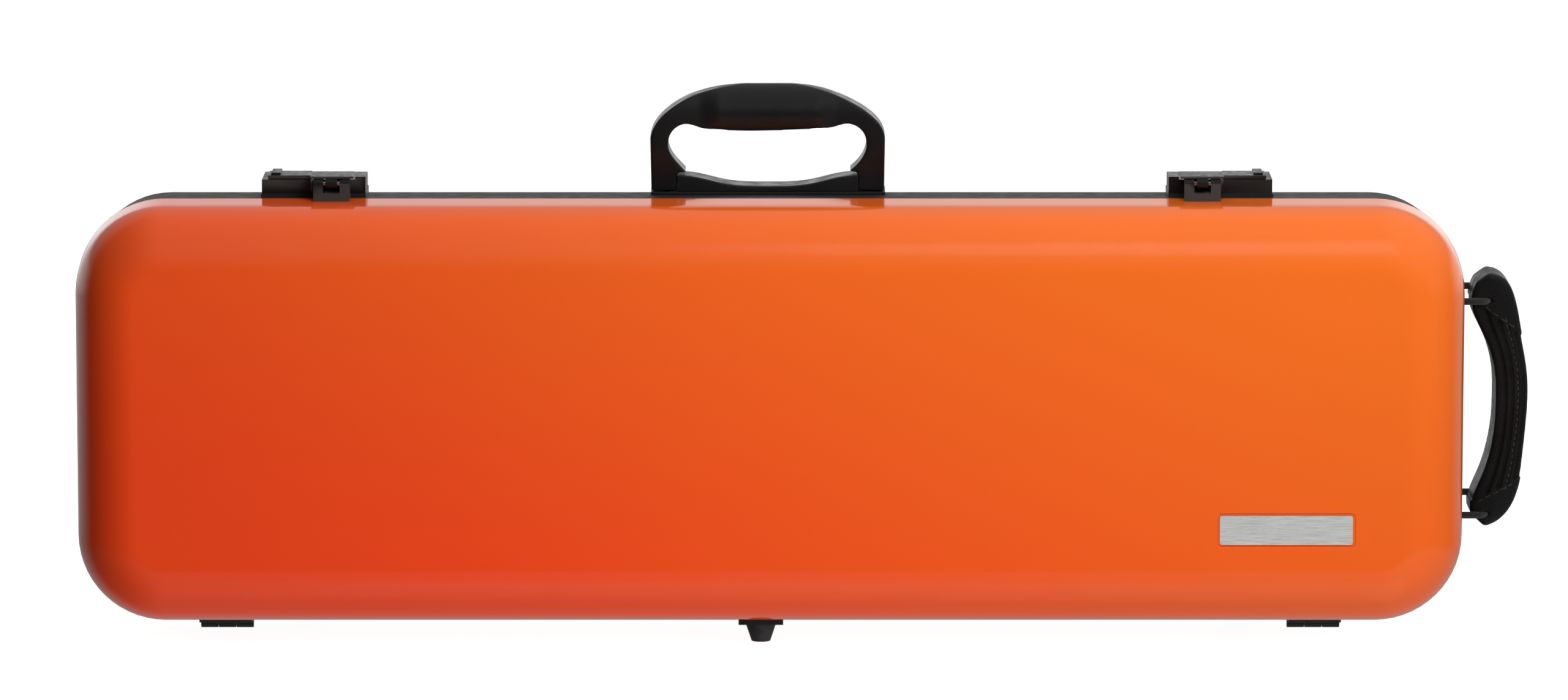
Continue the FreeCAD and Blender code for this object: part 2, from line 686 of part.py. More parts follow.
def hinge_pins():
    pins = [cylinder(f"hinge_pin_{name_of(end)}", "X", ("0", "hinge_z"), "hinge_pin",
                     f"{end} * hinge_x - 15", f"{end} * hinge_x + 15") for end in (-1, 1)]
    finish("hinge_pins", group("hinge_pins", *pins))


def rivets():
    """Shanks with a head outside and one inside."""
    for side, word in ((-1, "lid"), (1, "base")):
        shanks = hinge_rivets(f"{word}_shank", side, "1.5", "10.9", "21.5")
        heads = hinge_rivets(f"{word}_head", side, "2.6", "10.1", "10.9")
        pieces = [fuse(f"{word}_hinge_rivet_{i}", a, b) for i, (a, b) in enumerate(zip(shanks, heads))]
        finish(f"{word}_hinge_rivets", group(f"{word}_hinge_rivets", *pieces))
    finish("bracket_rivets", group("bracket_rivets",
                                   *bracket_rivets("bracket_rivet", "1.5", "245.2", "256.2")))
    shanks = housing_rivets("housing_rivet", "1.5", "246.0", "259")
    heads = housing_rivets("housing_rivet_head", "2.8", "245.0", "246.1")
    pieces = [fuse(f"lock_rivet_{i}", a, b) for i, (a, b) in enumerate(zip(shanks, heads))]
    finish("lock_rivets", group("lock_rivets", *pieces))


# ---------------------------------------------------------------- feet

def front_foot():
    plate = box("foot_plate_blank", ("-middle_x - 12.75", "-middle_x + 12.75"),
                ("-parting_y - 10", "-parting_y + 10"), ("10.6", "17"))
    trimmed = cut("foot_plate_trim", plate, outside("foot_plate_room", -1))
    finish("front_foot_plate", cut("front_foot_plate", trimmed,
                                   foot_screw("foot_plate_hole", "2.0", "8", "20")))
    rubber = cone("foot_cone", "Z", ("-middle_x", "-parting_y"), "5.4", "8.95", "0", "10.6")
    finish("front_foot", cut("front_foot", rubber, foot_screw("foot_bore", "2.0", "5", "12")))
    shank = foot_screw("foot_shank", "2.0", "5.0", "17.0")
    head = foot_screw("foot_head", "4.0", "16.4", "18.4")
    finish("front_foot_screw", fuse("front_foot_screw", shank, head))


def rear_feet():
    feet = []
    for side in (-1, 1):
        tag = name_of(side)
        blank = cone(f"rear_foot_{tag}", "Z", (f"{side} * rear_foot_x", "rear_foot_y"),
                     "5.5", "8.5", "0", "22")
        trimmed = cut(f"rear_foot_trim_{tag}", blank, outside(f"rear_foot_room_{tag}", 1))
        bore = rear_foot_screws_at(f"rear_bore_{tag}", "2.0", "6", "26")
        feet.append(cut(f"rear_foot_bored_{tag}", trimmed, *bore))
    finish("rear_feet", group("rear_feet", *feet))
    shanks = rear_foot_screws_at("rear_shank", "2.0", "6", "22.4")
    heads = rear_foot_screws_at("rear_head", "3.0", "22.1", "23.8")
    pieces = [fuse(f"rear_screw_{i}", a, b) for i, (a, b) in enumerate(zip(shanks, heads))]
    finish("rear_foot_screws", group("rear_foot_screws", *pieces))


# ---------------------------------------------------------------- foam, pads, neck

FOAM_BACK = "foam_front + foam_depth"


def hollow_cylinder(name, x, z, radius):
    return cylinder(name, "Y", (x, z), radius, "foam_front - 1", "hollow_back")


def foam_block(name):
    return base_slab(name, "foam_inset", "foam_front", "foam_depth", "20")


def foam_insert():
    front = "foam_front - 1"
    tools = [
        hollow_cylinder("lower_bout", "258", "133", "106.5"),
        hollow_cylinder("upper_bout", "98", "133", "90"),
        box("waist", ("98", "258"), (front, "hollow_back"), ("63", "203")),
        box("neck_channel", ("-215", "20"), (front, "hollow_back"), ("107", "159")),
        hollow_cylinder("scroll_hollow", "-215", "133", "36"),
        box("end_pocket", ("-366", "-268"), (front, "hollow_back"), ("48", "218")),
        box("lidded_pocket", ("-236", "-46"), (front, "hollow_back"), ("29", "81")),
        box("pocket_rebate", ("-242", "-40"), (front, "foam_front + 0.4"), ("24", "91")),
        box("shoulder_pocket", ("-236", "-6"), (front, "hollow_back"), ("185", "229")),
    ]
    screws = box("backing_clearance", ("-72", "70"), ("handle_y - 15", "handle_y + 15"),
                 ("240", "252"))
    finish("foam_insert", cut("foam_insert", foam_block("foam_blank"), *tools, screws))


def pads_and_neck():
    pads = [box("pad_top", ("30", "70"), ("hollow_back - 9", "hollow_back"), ("98", "168")),
            box("pad_tail", ("305", "345"), ("hollow_back - 9", "hollow_back"), ("98", "168"))]
    finish("suspension_pads", group("suspension_pads", *pads))
    block = box("neck_block", ("-110", "-60"), ("26", "hollow_back"), ("107.1", "158.9"))
    notch = cylinder("neck_notch", "X", ("26", "133"), "19", "-111", "-59")
    finish("neck_cradle", cut("neck_cradle", block, notch))
    finish("neck_strap", box("neck_strap", ("-95", "-75"), ("23.6", "25.9"), ("107.1", "158.9")))


# ---------------------------------------------------------------- accessory pocket lid

def pocket():
    low, high = "-239", "-43"
    axis = ("pocket_axis_y", "pocket_axis_z")
    panel = box("pocket_panel", (low, high), ("10.6", "13.6"),
                ("pocket_axis_z - 60", "pocket_axis_z - 2.4"))
    tube = cylinder("pocket_tube", "X", axis, "1.8", "-230", "-52")
    web = box("pocket_web", ("-230", "-52"), ("11.0", "13.2"),
              ("pocket_axis_z - 3", "pocket_axis_z"))
    bore = cylinder("pocket_bore", "X", axis, "1.0 + running", "-240", "-40")
    finish("pocket_lid", cut("pocket_lid", fuse("pocket_solid", panel, tube, web), bore))
    finish("pocket_pin", cylinder("pocket_pin", "X", axis, "1.0", "-236", "-46"))
    posts = []
    for i, (start, end) in enumerate((("-237", "-231"), ("-51", "-45"))):
        posts.append(box(f"pocket_post_{i}", (start, end), ("10.4", "14.4"),
                         ("pocket_axis_z - 1.7", "pocket_axis_z + 2.6")))
    hole = cylinder("post_bore", "X", axis, "1.0", "-240", "-40")
    finish("pocket_posts", cut("pocket_posts", group("post_pair", *posts), hole))
    finish("pocket_tab", box("pocket_tab", ("-149", "-133"), ("9.4", "10.5"),
                             ("pocket_axis_z - 61.5", "pocket_axis_z - 46")))


# ---------------------------------------------------------------- bow holders in the lid

BOW_HEIGHTS = ("178", "208")
LINING_FACE = "-lid_depth + wall + 0.1 + lining"


def bow_holders():
    posts = []
    for i, z in enumerate(BOW_HEIGHTS):
        stem = cylinder(f"spinner_stem_{i}", "Y", ("-290", z), "4.0", LINING_FACE, "-40")
        head = cylinder(f"spinner_head_{i}", "Y", ("-290", z), "6.0", "-40.1", "-38.8")
        posts.append(fuse(f"spinner_post_{i}", stem, head))
        arm = box(f"spinner_arm_{i}", ("-304.4", "-275.6"), ("-47", "-40.4"), (f"{z} - 6", f"{z} + 6"))
        hub = cylinder(f"spinner_hub_{i}", "Y", ("-290", z), "8.0", "-47", "-40.4")
        bore = cylinder(f"spinner_bore_{i}", "Y", ("-290", z), "4.0 + running", "-49", "-39")
        word = "upper" if i else "lower"
        finish(f"bow_spinner_{word}",
               cut(f"bow_spinner_{word}", fuse(f"spinner_solid_{i}", arm, hub), bore))
    finish("spinner_posts", group("spinner_posts", *posts))
    caps = []
    for i, z in enumerate(BOW_HEIGHTS):
        blank = box(f"tip_blank_{i}", ("292", "330"), (LINING_FACE, "-30"), (f"{z} - 12", f"{z} + 12"))
        room = box(f"tip_room_{i}", ("290", "326"), ("-48", "-34"), (f"{z} - 8", f"{z} + 8"))
        caps.append(cut(f"tip_cap_{i}", blank, room))
    finish("bow_tip_caps", group("bow_tip_caps", *caps))


# ---------------------------------------------------------------- build and write

lid_shell()
base_shell()
frames()
lining()
nameplate()
handle()
handle_saddle()
handle_plates()
for hand in (-1, 1):
    lock_housing(hand)
    thumb_slide(hand)
    lock_spring(hand)
    lid_bracket(hand)
    hasp(hand)
    hinge_leaf(hand)
hinge_pins()
rivets()
front_foot()
rear_feet()
end_strap()
cord_eyelets()
foam_insert()
pads_and_neck()
pocket()
bow_holders()
doc.recompute()

for thing in doc.Objects:
    broken = [word for word in thing.State if word in ("Invalid", "Error")]
    if broken:
        raise RuntimeError(f"{thing.Label}: {broken}")
for node, thing in finished.items():
    shape = thing.Shape
    if shape.isNull() or not shape.isValid() or not shape.Solids:
        raise RuntimeError(f"{node}: bad shape")
for node, thing in finished.items():
    thing.Shape.exportStep(f"parts/{node}.step")
    bounds = thing.Shape.BoundBox
    print(f"{node:22s} solids {len(thing.Shape.Solids)} volume {thing.Shape.Volume:10.0f} "
          f"x {bounds.XMin:7.1f} {bounds.XMax:7.1f} y {bounds.YMin:6.1f} {bounds.YMax:6.1f} "
          f"z {bounds.ZMin:6.1f} {bounds.ZMax:6.1f}")
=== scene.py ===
import json
import math

import bmesh
import bpy
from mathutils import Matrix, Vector
from mathutils.bvhtree import BVHTree

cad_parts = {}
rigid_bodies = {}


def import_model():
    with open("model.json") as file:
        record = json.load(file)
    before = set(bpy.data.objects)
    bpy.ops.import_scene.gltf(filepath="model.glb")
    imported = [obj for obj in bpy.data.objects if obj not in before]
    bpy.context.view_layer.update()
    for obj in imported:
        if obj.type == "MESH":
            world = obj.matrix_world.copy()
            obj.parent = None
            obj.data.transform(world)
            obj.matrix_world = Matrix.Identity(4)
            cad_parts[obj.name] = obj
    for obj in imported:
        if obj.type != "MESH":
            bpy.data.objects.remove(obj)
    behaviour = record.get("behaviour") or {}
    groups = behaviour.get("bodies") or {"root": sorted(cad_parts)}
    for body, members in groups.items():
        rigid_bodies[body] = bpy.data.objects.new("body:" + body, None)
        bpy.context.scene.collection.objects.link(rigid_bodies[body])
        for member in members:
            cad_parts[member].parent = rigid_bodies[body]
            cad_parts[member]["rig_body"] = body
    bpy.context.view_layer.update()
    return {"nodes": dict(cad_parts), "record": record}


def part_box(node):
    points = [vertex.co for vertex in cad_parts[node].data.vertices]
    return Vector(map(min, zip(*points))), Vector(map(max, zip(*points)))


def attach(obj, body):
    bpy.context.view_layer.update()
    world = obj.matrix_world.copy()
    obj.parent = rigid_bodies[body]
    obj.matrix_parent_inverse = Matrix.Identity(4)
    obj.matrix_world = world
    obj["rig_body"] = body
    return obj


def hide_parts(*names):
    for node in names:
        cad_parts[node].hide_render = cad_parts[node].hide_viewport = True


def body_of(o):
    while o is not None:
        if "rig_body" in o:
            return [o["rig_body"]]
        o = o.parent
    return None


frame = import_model()
NODES = frame["nodes"]
MM = 0.001

# ------------------------------------------------------------------ case frame
# Metres and radians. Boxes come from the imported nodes, and the rest repeats the CAD's sizes.
LID_LOW, LID_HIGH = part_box("lid_shell")
BASE_LOW, BASE_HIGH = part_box("base_shell")
MIDDLE = (LID_LOW + LID_HIGH) / 2
PARTING = BASE_LOW.y
HALF_X = (LID_HIGH.x - LID_LOW.x) / 2
HALF_Z = (LID_HIGH.z - LID_LOW.z) / 2
LID_DEPTH = PARTING - LID_LOW.y
BASE_DEPTH = BASE_HIGH.y - PARTING
CORNER = 50.7 * MM
WALL = 2.4 * MM
LID_EDGE, LID_DRAFT = 35 * MM, math.radians(2.5)
BASE_EDGE, BASE_DRAFT = 26 * MM, math.radians(4)
LINING = 3.0 * MM


# ------------------------------------------------------------------ camera
ELEVATION = math.radians(8.7)
DISTANCE = 5.0
WIDTH_SEEN = 0.8945                  # at the target
SENSOR = 36
AIM_RIGHT, AIM_UP = 7.9 * MM, 32.7 * MM     # from the case's middle to the frame's


def make_camera():
    target = Vector((MIDDLE.x + AIM_RIGHT, PARTING, MIDDLE.z + AIM_UP))
    back = Vector((0, -math.cos(ELEVATION), math.sin(ELEVATION)))
    data = bpy.data.cameras.new("camera")
    data.sensor_width = SENSOR
    data.lens = SENSOR * DISTANCE / WIDTH_SEEN
    data.clip_start, data.clip_end = 0.1, 60
    camera = bpy.data.objects.new("camera", data)
    camera.location = target + back * DISTANCE
    camera.rotation_mode = "QUATERNION"
    camera.rotation_quaternion = (-back).to_track_quat("-Z", "Y")
    bpy.context.scene.collection.objects.link(camera)
    bpy.context.scene.camera = camera


# ------------------------------------------------------------------ shader nodes
class Nodes:
    """Adds nodes to a tree."""

    def __init__(self, tree):
        self.tree = tree

    def add(self, kind, **settings):
        node = self.tree.nodes.new(kind)
        for key, value in settings.items():
            setattr(node, key, value)
        return node

    def link(self, out, into):
        self.tree.links.new(out, into)

    def parts(self, vector):
        node = self.add("ShaderNodeSeparateXYZ")
        self.link(vector, node.inputs[0])
        return node.outputs

    def ramp(self, value, low, high, start=0.0, end=1.0):
        """low where value is start, high where it is end, smooth between."""
        node = self.add("ShaderNodeMapRange", interpolation_type="SMOOTHSTEP")
        for name, number in zip(("From Min", "From Max", "To Min", "To Max"),
                                (start, end, low, high)):
            node.inputs[name].default_value = number
        self.link(value, node.inputs["Value"])
        return node.outputs["Result"]

    def blend(self, value, first, second):
        node = self.add("ShaderNodeMix", data_type="RGBA")
        for slot, colour in (("A", first), ("B", second)):
            socket = [s for s in node.inputs if s.name == slot and s.type == "RGBA"][0]
            if isinstance(colour, tuple):
                socket.default_value = (*colour, 1)
            else:
                self.link(colour, socket)
        self.link(value, node.inputs["Factor"])
        return [s for s in node.outputs if s.type == "RGBA"][0]

    def math(self, operation, first, second):
        node = self.add("ShaderNodeMath", operation=operation)
        for socket, value in zip(node.inputs, (first, second)):
            if isinstance(value, (int, float)):
                socket.default_value = value
            else:
                self.link(value, socket)
        return node.outputs["Value"]


class Shader(Nodes):
    """A material with a Principled shader."""

    def __init__(self, name):
        self.mat = bpy.data.materials.new(name)
        self.mat.use_nodes = True
        super().__init__(self.mat.node_tree)
        self.shader = self.tree.nodes["Principled BSDF"]
        self.place = self.add("ShaderNodeTexCoord").outputs["Object"]

    def set(self, **values):
        for key, value in values.items():
            self.shader.inputs[key.replace("_", " ")].default_value = value

    def stretched(self, scale):
        node = self.add("ShaderNodeMapping")
        node.inputs["Scale"].default_value = scale
        self.link(self.place, node.inputs["Vector"])
        return node.outputs["Vector"]

    def noise(self, scale, detail=3.0, rough=0.5, stretch=None, distortion=0.0):
        node = self.add("ShaderNodeTexNoise")
        node.inputs["Scale"].default_value = scale
        node.inputs["Detail"].default_value = detail
        node.inputs["Roughness"].default_value = rough
        node.inputs["Distortion"].default_value = distortion
        self.link(self.stretched(stretch) if stretch else self.place, node.inputs["Vector"])
        return node.outputs["Fac"]

    def cells(self, scale, feature="F1"):
        node = self.add("ShaderNodeTexVoronoi", feature=feature)
        node.inputs["Scale"].default_value = scale
        self.link(self.place, node.inputs["Vector"])
        return node.outputs["Distance"]

    def waves(self, scale, direction, distortion):
        node = self.add("ShaderNodeTexWave", bands_direction=direction)
        node.inputs["Scale"].default_value = scale
        node.inputs["Distortion"].default_value = distortion
        self.link(self.place, node.inputs["Vector"])
        return node.outputs["Fac"]

    def edges(self, low=0.52, high=0.62):
        """1 on sharp outer edges, where paint and dye wear."""
        return self.ramp(self.add("ShaderNodeNewGeometry").outputs["Pointiness"], 0, 1, low, high)

    def colour(self, out):
        self.link(out, self.shader.inputs["Base Color"])

    def roughness(self, out):
        self.link(out, self.shader.inputs["Roughness"])

    def bump(self, *layers):
        """Each layer is (height, distance in metres)."""
        normal = None
        for height, distance in layers:
            node = self.add("ShaderNodeBump")
            node.inputs["Distance"].default_value = distance
            node.inputs["Strength"].default_value = 1.0
            self.link(height, node.inputs["Height"])
            if normal is not None:
                self.link(normal, node.inputs["Normal"])
            normal = node.outputs["Normal"]
        self.link(normal, self.shader.inputs["Normal"])
        return self


def scaled(colour, factor):
    return tuple(min(1.0, c * factor) for c in colour)


def orange_gloss():
    """Glossy moulded sheet, with painted shade: redder and darker towards its lower left, as
    though lit from its upper right.
    """
    s = Shader("orange_gloss")
    s.set(IOR=1.46, Coat_Weight=0.45, Coat_Roughness=0.03)
    # Painted shade: the colour runs from a lit amber at the upper right to a shaded red at the
    # lower left, standing in for light falling off; the noise mottling below is the sheet's own
    # tone.
    shaded_red, lit_amber = (0.84, 0.056, 0.009), (0.80, 0.145, 0.012)
    x, _, z = s.parts(s.place)
    shade_slant = s.math("ADD", x, s.math("MULTIPLY", s.math("SUBTRACT", z, MIDDLE.z), 2.4))
    painted_shade = s.blend(s.ramp(shade_slant, 0, 1, -0.5, 0.65), shaded_red, lit_amber)
    tone = s.ramp(s.noise(3.5, 2.0), 0, 1, 0.35, 0.65)
    mottled = s.blend(s.math("MULTIPLY", tone, 0.12), painted_shade, scaled(lit_amber, 0.8))
    s.colour(s.blend(s.math("MULTIPLY", s.edges(0.53, 0.66), 0.35), mottled, (0.95, 0.30, 0.12)))
    s.roughness(s.ramp(s.noise(60, 5.0, 0.7), 0.13, 0.18, 0.3, 0.7))
    return s.bump((s.noise(420, 2.0), 0.0000015), (s.noise(14, 1.0), 0.00001)).mat


def satin_dark(name, base, rough, grain, depth, specular=0.2):
    """Moulded plastic with a fine spark-eroded grain."""
    s = Shader(name)
    s.set(Specular_IOR_Level=specular)
    tone = s.ramp(s.noise(14, 3.0), 0, 1, 0.35, 0.65)
    colour = s.blend(tone, scaled(base, 0.82), scaled(base, 1.2))
    s.colour(s.blend(s.edges(), colour, scaled(base, 2.2)))
    s.roughness(s.ramp(s.noise(120, 4.0), rough - 0.06, rough + 0.08, 0.3, 0.7))
    return s.bump((s.cells(grain), depth), (s.noise(900, 3.0), depth * 0.6)).mat


def coated_metal(name, base, rough=0.34):
    """Near-black coating, paler where its edges are rubbed."""
    s = Shader(name)
    s.set(Specular_IOR_Level=0.24, Coat_Weight=0.06, Coat_Roughness=0.2)
    tone = s.ramp(s.noise(50, 4.0), 0, 1, 0.35, 0.65)
    s.colour(s.blend(s.edges(0.515, 0.6), s.blend(tone, scaled(base, 0.8), scaled(base, 1.25)),
                     (0.045, 0.044, 0.043)))
    s.roughness(s.ramp(s.noise(300, 4.0), rough - 0.07, rough + 0.1, 0.3, 0.7))
    return s.bump((s.noise(1600, 3.0), 0.000018)).mat


def brushed(name, base, rough, stretch, metallic=1.0):
    """Metal with fine brush lines along the axis with the smallest stretch."""
    s = Shader(name)
    s.set(Metallic=metallic, Anisotropic=0.55)
    lines = s.noise(14, 6.0, 0.75, stretch=stretch)
    s.colour(s.blend(s.ramp(lines, 0, 1, 0.3, 0.7), scaled(base, 0.72), scaled(base, 1.12)))
    s.roughness(s.ramp(lines, rough - 0.08, rough + 0.12, 0.3, 0.7))
    return s.bump((lines, 0.00002)).mat


def rubber(name, base):
    s = Shader(name)
    tone = s.ramp(s.noise(90, 4.0), 0, 1, 0.35, 0.65)
    s.colour(s.blend(s.edges(), s.blend(tone, scaled(base, 0.8), scaled(base, 1.3)),
                     scaled(base, 2.6)))
    s.roughness(s.ramp(s.noise(260, 4.0), 0.62, 0.8, 0.3, 0.7))
    return s.bump((s.noise(2200, 4.0), 0.00004)).mat


def velour(name, base):
    """Short pile with a brushed nap."""
    s = Shader(name)
    s.set(Sheen_Weight=0.7, Sheen_Roughness=0.35, Sheen_Tint=(*scaled(base, 4.0), 1))
    nap = s.noise(24, 4.0, 0.6, distortion=0.6)
    pile = s.noise(3800, 2.0)
    mixed = s.math("MULTIPLY", s.ramp(nap, 0.3, 1.0, 0.3, 0.7), s.ramp(pile, 0.5, 1.0, 0.3, 0.7))
    s.colour(s.blend(mixed, scaled(base, 0.55), scaled(base, 1.4)))
    s.roughness(s.ramp(nap, 0.82, 0.95, 0.3, 0.7))
    return s.bump((pile, 0.00025), (nap, 0.0004)).mat


def leather(name, base):
    """Grained leather with pores."""
    s = Shader(name)
    s.set(Specular_IOR_Level=0.34, Coat_Weight=0.10, Coat_Roughness=0.25)
    creases = s.cells(620, "DISTANCE_TO_EDGE")
    pores = s.noise(2600, 3.0)
    tone = s.ramp(s.noise(40, 4.0), 0, 1, 0.35, 0.65)
    s.colour(s.blend(s.edges(0.52, 0.64), s.blend(tone, scaled(base, 0.8), scaled(base, 1.35)),
                     scaled(base, 3.0)))
    s.roughness(s.ramp(s.noise(160, 4.0), 0.38, 0.56, 0.3, 0.7))
    return s.bump((s.ramp(creases, 0, 1, 0.0, 0.12), 0.00016), (pores, 0.00003)).mat


def woven(name, base, scale):
    s = Shader(name)
    warp = s.waves(scale, "X", 0.6)
    weft = s.waves(scale, "Z", 0.6)
    weave = s.math("MAXIMUM", warp, weft)
    s.set(Sheen_Weight=0.3, Sheen_Roughness=0.5)
    tone = s.math("MULTIPLY", weave, s.ramp(s.noise(70, 4.0), 0.7, 1.0, 0.3, 0.7))
    s.colour(s.blend(tone, scaled(base, 0.5), scaled(base, 1.25)))
    s.roughness(s.ramp(weave, 0.9, 0.7))
    return s.bump((weave, 0.00018)).mat


def floor_material():
    s = Shader("studio_floor")
    tone = s.ramp(s.noise(1.5, 2.0), 0, 1, 0.35, 0.65)
    s.colour(s.blend(tone, (0.80, 0.80, 0.80), (0.82, 0.82, 0.82)))
    s.roughness(s.ramp(s.noise(9, 3.0), 0.75, 0.85))
    s.set(Emission_Color=(1, 1, 1, 1), Emission_Strength=0.92, Specular_IOR_Level=0.2)
    return s.mat


MATS = {
    "orange_shell": orange_gloss(),
    "dark_shell": satin_dark("dark_shell", (0.026, 0.025, 0.026), 0.56, 2600, 0.00002),
    "frame_metal": brushed("frame_metal", (0.22, 0.22, 0.23), 0.4, (3, 60, 260)),
    "seal_rubber": rubber("seal_rubber", (0.018, 0.018, 0.018)),
    "foam_velour": velour("foam_velour", (0.075, 0.078, 0.088)),
    "lining_velour": velour("lining_velour", (0.105, 0.108, 0.118)),
    "plate_metal": brushed("plate_metal", (0.66, 0.66, 0.655), 0.28, (4, 100, 150), 0.3),
    "grip_plastic": satin_dark("grip_plastic", (0.009, 0.0085, 0.0085), 0.30, 2200, 0.00002, 0.36),
    "lock_metal": coated_metal("lock_metal", (0.0055, 0.0054, 0.0053)),
    "spring_steel": brushed("spring_steel", (0.56, 0.56, 0.57), 0.3, (40, 200, 200)),
    "steel": brushed("steel", (0.50, 0.50, 0.51), 0.34, (40, 200, 200)),
    "foot_rubber": rubber("foot_rubber", (0.022, 0.021, 0.021)),
    "strap_leather": leather("strap_leather", (0.0045, 0.0045, 0.0044)),
    "cord": woven("cord", (0.012, 0.012, 0.012), 520),
    "tab_fabric": woven("tab_fabric", (0.45, 0.06, 0.012), 380),
}

SLOT_OF = {row["node"]: row["material_slot"] for row in frame["record"]["subparts"]}


# ------------------------------------------------------------------ mesh helpers
def new_piece(name, bm, slot, body, nodes=(), smooth_angle=30):
    mesh = bpy.data.meshes.new(name)
    bm.normal_update()
    bm.to_mesh(mesh)
    bm.free()
    piece = bpy.data.objects.new(name, mesh)
    bpy.context.scene.collection.objects.link(piece)
    dress(piece, slot, body, nodes, smooth_angle)
    return piece


def dress(piece, slot, body, nodes=(), smooth_angle=30):
    piece.data.materials.clear()
    piece.data.materials.append(MATS[slot])
    for polygon in piece.data.polygons:
        polygon.use_smooth = True
    if smooth_angle < 180:
        piece.data.set_sharp_from_angle(angle=math.radians(smooth_angle))
    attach(piece, body)
    if nodes:
        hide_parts(*nodes)


def rounded_outline(half_x, half_z, radius, corner_steps, straight_x, straight_z):
    """Points of a round-cornered rectangle about the origin, anticlockwise from the right side."""
    points = []
    inner_x, inner_z = half_x - radius, half_z - radius
    corners = ((inner_x, inner_z, 0), (-inner_x, inner_z, 90),
               (-inner_x, -inner_z, 180), (inner_x, -inner_z, 270))
    for index, (cx, cz, start) in enumerate(corners):
        for k in range(corner_steps + 1):
            angle = math.radians(start + 90 * k / corner_steps)
            points.append((cx + radius * math.cos(angle), cz + radius * math.sin(angle)))
        nxt = corners[(index + 1) % 4]
        steps = straight_x if index % 2 == 0 else straight_z
        angle = math.radians(start + 90)
        x0, z0 = cx + radius * math.cos(angle), cz + radius * math.sin(angle)
        x1, z1 = nxt[0] + radius * math.cos(angle), nxt[1] + radius * math.sin(angle)
        for k in range(1, steps):
            share = k / steps
            points.append((x0 + (x1 - x0) * share, z0 + (z1 - z0) * share))
    return points


def half_profile(depth, edge, draft, rim_steps=4, arc_steps=14):
    """(inset, depth) pairs from the rim over the rounded edge to the flat face."""
    slope = math.tan(draft)
    reach = edge * math.tan((math.pi / 2 - draft) / 2)
    wall_end = depth - reach * math.cos(draft)
    start = (wall_end * slope, wall_end)
    pairs = [(slope * wall_end * k / rim_steps, wall_end * k / rim_steps)
             for k in range(rim_steps)]
    centre = (start[0] + edge * math.cos(draft), start[1] - edge * math.sin(draft))
    for k in range(arc_steps + 1):
        angle = draft + (math.pi / 2 - draft) * k / arc_steps
        pairs.append((centre[0] - edge * math.cos(angle), centre[1] + edge * math.sin(angle)))
    return pairs


def ring_of(bm, inset, y, middle, outline, steps=(14, 40, 12)):
    half_x, half_z, radius = outline
    points = rounded_outline(half_x - inset, half_z - inset, max(radius - inset, 0.4 * MM), *steps)
    return [bm.verts.new((middle.x + x, y, middle.z + z)) for x, z in points]


def bridge(bm, first, second):
    count = len(first)
    for i in range(count):
        j = (i + 1) % count
        bm.faces.new((first[i], first[j], second[j], second[i]))


def shell(bm, depth, edge, draft, side, rim):
    """Hollow half shell, from its rim at y = rim towards side, with a softened lip."""
    lip = 0.35 * MM
    outline = (HALF_X, HALF_Z, CORNER)

    def skin(shrink):
        pairs = [(inset + shrink, y)
                 for inset, y in half_profile(depth - shrink, edge - shrink, draft)]
        pairs[0] = (pairs[0][0], lip)
        return [ring_of(bm, inset, rim + side * y, MIDDLE, outline) for inset, y in pairs]

    rings = skin(0.0)
    for one, two in zip(rings, rings[1:]):
        bridge(bm, one, two)
    bm.faces.new(rings[-1])
    inner_rings = skin(WALL)
    for one, two in zip(inner_rings, inner_rings[1:]):
        bridge(bm, two, one)
    bm.faces.new(list(reversed(inner_rings[-1])))
    edge_outer = ring_of(bm, lip, rim, MIDDLE, outline)
    edge_inner = ring_of(bm, WALL - lip, rim, MIDDLE, outline)
    bridge(bm, edge_outer, rings[0])
    bridge(bm, edge_inner, edge_outer)
    bridge(bm, inner_rings[0], edge_inner)
    bmesh.ops.recalc_face_normals(bm, faces=bm.faces)


def cut_box(piece, low, high, corner, name):
    """Cuts a round-cornered box, whose corners lie in the XZ plane, out of a piece."""
    bm = bmesh.new()
    half_x, half_z = (high.x - low.x) / 2, (high.z - low.z) / 2
    mid = (low + high) / 2
    points = rounded_outline(half_x, half_z, corner, 6, 1, 1)
    rings = [[bm.verts.new((mid.x + x, y, mid.z + z)) for x, z in points] for y in (low.y, high.y)]
    bridge(bm, rings[0], rings[1])
    bm.faces.new(rings[0])
    bm.faces.new(list(reversed(rings[1])))
    bmesh.ops.recalc_face_normals(bm, faces=bm.faces)
    mesh = bpy.data.meshes.new(name)
    bm.to_mesh(mesh)
    bm.free()
    tool = bpy.data.objects.new(name, mesh)
    bpy.context.scene.collection.objects.link(tool)
    modifier = piece.modifiers.new(name, "BOOLEAN")
    modifier.object = tool
    modifier.solver = "EXACT"
    modifier.operation = "DIFFERENCE"
    apply_all(piece)
    bpy.data.objects.remove(tool)


def apply_all(piece):
    """Replaces a piece's mesh by what its modifiers make of it."""
    depsgraph = bpy.context.evaluated_depsgraph_get()
    mesh = bpy.data.meshes.new_from_object(piece.evaluated_get(depsgraph))
    piece.modifiers.clear()
    piece.data = mesh


def softened(node, name, voxel, rounds, slot):
    """A copy of a CAD node with its edges moulded round."""
    copy = bpy.data.objects.new(name, NODES[node].data.copy())
    bpy.context.scene.collection.objects.link(copy)
    remesh = copy.modifiers.new("remesh", "REMESH")
    remesh.mode = "VOXEL"
    remesh.voxel_size = voxel
    remesh.use_smooth_shade = True
    smooth = copy.modifiers.new("smooth", "SMOOTH")
    smooth.factor, smooth.iterations = 0.5, rounds
    apply_all(copy)
    dress(copy, slot, body_of(NODES[node])[0], (node,), 180)
    return copy


